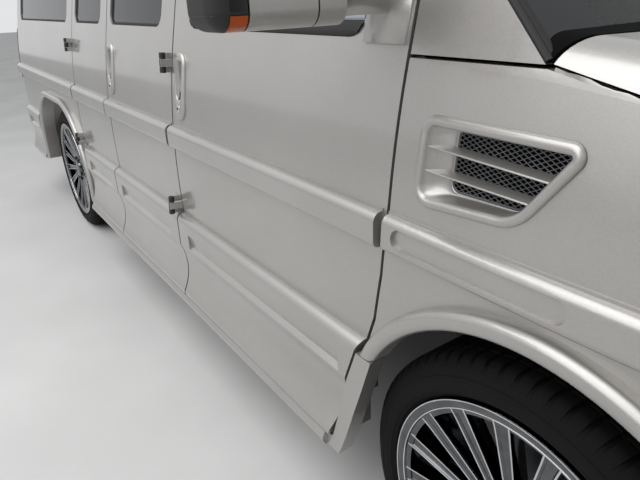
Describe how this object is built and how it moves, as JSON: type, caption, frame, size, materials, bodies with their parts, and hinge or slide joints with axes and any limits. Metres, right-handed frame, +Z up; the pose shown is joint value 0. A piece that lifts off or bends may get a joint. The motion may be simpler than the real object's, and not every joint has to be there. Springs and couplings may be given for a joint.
{
  "type": "full-size passenger van",
  "caption": "full-size passenger van with hinged side and rear doors, long windowed body, ladder frame and steered front wheels",
  "frame": {"origin": "on the floor below the middle of the overall length and width", "axes": "+X forward, +Y to the van's left, +Z up"},
  "size_m": [5.6918, 2.6, 2.073],
  "materials": {
    "body_paint": "satin silver metallic",
    "dark_glass": "tinted, smooth",
    "chrome": "polished",
    "black_plastic": "grained",
    "tyre": "moulded",
    "chassis_black": "dull black",
    "bare_steel": "machined",
    "iron": "rough cast",
    "exhaust_steel": "dull",
    "seat_fabric": "woven",
    "lamp_lens": "clear, fluted",
    "tail_lens": "red, smooth",
    "floor_paint": "grey"
  },
  "bodies": {
    "body": {"side_right": "body_paint", "side_left": "body_paint", "roof": "body_paint", "floor": "floor_paint", "cowl": "black_plastic", "fender_right": "body_paint", "fender_left": "body_paint", "fender_vents": "body_paint", "front_panel": "body_paint", "grille": "chrome", "headlamps": "lamp_lens", "tail_lamps": "tail_lens", "windscreen": "dark_glass", "glass_side_fixed": "dark_glass", "front_bumper": "body_paint", "rear_bumper": "body_paint", "running_boards": "body_paint", "wheel_liners": "black_plastic", "frame": "chassis_black", "engine": "iron", "radiator": "chassis_black", "rear_axle": "chassis_black", "front_suspension": "chassis_black", "fuel_tank": "chassis_black", "exhaust": "exhaust_steel", "dashboard": "black_plastic", "seats": "seat_fabric"},
    "front_door_right": {"door_front_right": "body_paint", "glass_front_right": "dark_glass", "mirror_right": "body_paint"},
    "front_door_left": {"door_front_left": "body_paint", "glass_front_left": "dark_glass", "mirror_left": "body_paint"},
    "side_door_front": {"door_side_front": "body_paint", "glass_side_front": "dark_glass"},
    "side_door_rear": {"door_side_rear": "body_paint", "glass_side_rear": "dark_glass"},
    "rear_door_right": {"door_rear_right": "body_paint", "glass_rear_right": "dark_glass"},
    "rear_door_left": {"door_rear_left": "body_paint", "glass_rear_left": "dark_glass"},
    "hood_panel": {"hood": "body_paint"},
    "steer_hub_right": {"knuckle_right": "bare_steel"},
    "steer_hub_left": {"knuckle_left": "bare_steel"},
    "road_wheel_front_right": {"wheel_front_right": "chrome", "tyre_front_right": "tyre"},
    "road_wheel_front_left": {"wheel_front_left": "chrome", "tyre_front_left": "tyre"},
    "road_wheel_rear_right": {"wheel_rear_right": "chrome", "tyre_rear_right": "tyre"},
    "road_wheel_rear_left": {"wheel_rear_left": "chrome", "tyre_rear_left": "tyre"}
  },
  "joints": [
    {"name": "front_door_right_swing", "type": "hinge", "parent": "body", "child": "front_door_right", "pos_m": [1.628, -1.04, 0.68], "axis": [0, 0.0847, 0.9964], "range_deg": [0, 68]},
    {"name": "front_door_left_swing", "type": "hinge", "parent": "body", "child": "front_door_left", "pos_m": [1.628, 1.04, 0.68], "axis": [0, 0.0847, -0.9964], "range_deg": [0, 68]},
    {"name": "side_door_front_swing", "type": "hinge", "parent": "body", "child": "side_door_front", "pos_m": [0.519, -1.04, 0.68], "axis": [0, 0.0847, 0.9964], "range_deg": [0, 100]},
    {"name": "side_door_rear_swing", "type": "hinge", "parent": "body", "child": "side_door_rear", "pos_m": [-0.866, -1.04, 0.68], "axis": [0, -0.0847, -0.9964], "range_deg": [0, 100]},
    {"name": "rear_door_right_swing", "type": "hinge", "parent": "body", "child": "rear_door_right", "pos_m": [-2.704, -0.806, 1.2], "axis": [0, 0, 1], "range_deg": [0, 170]},
    {"name": "rear_door_left_swing", "type": "hinge", "parent": "body", "child": "rear_door_left", "pos_m": [-2.704, 0.806, 1.2], "axis": [0, 0, -1], "range_deg": [0, 170]},
    {"name": "hood_lift", "type": "hinge", "parent": "body", "child": "hood_panel", "pos_m": [1.901, 0, 1.325], "axis": [0, -1, 0], "range_deg": [0, 50]},
    {"name": "steer_right", "type": "hinge", "parent": "body", "child": "steer_hub_right", "pos_m": [1.941, -0.716, 0.3855], "axis": [0, 0, 1], "range_deg": [-30, 30]},
    {"name": "steer_left", "type": "hinge", "parent": "body", "child": "steer_hub_left", "pos_m": [1.941, 0.716, 0.3855], "axis": [0, 0, 1], "range_deg": [-30, 30]},
    {"name": "spin_front_right", "type": "hinge", "parent": "steer_hub_right", "child": "road_wheel_front_right", "pos_m": [1.941, -0.852, 0.3855], "axis": [0, 1, 0], "continuous": true},
    {"name": "spin_front_left", "type": "hinge", "parent": "steer_hub_left", "child": "road_wheel_front_left", "pos_m": [1.941, 0.852, 0.3855], "axis": [0, 1, 0], "continuous": true},
    {"name": "spin_rear_right", "type": "hinge", "parent": "body", "child": "road_wheel_rear_right", "pos_m": [-1.488, -0.852, 0.3855], "axis": [0, 1, 0], "continuous": true},
    {"name": "spin_rear_left", "type": "hinge", "parent": "body", "child": "road_wheel_rear_left", "pos_m": [-1.488, 0.852, 0.3855], "axis": [0, 1, 0], "continuous": true}
  ],
  "couplings": [
    {"joint": "steer_left", "follows": "steer_right", "ratio": 1}
  ]
}
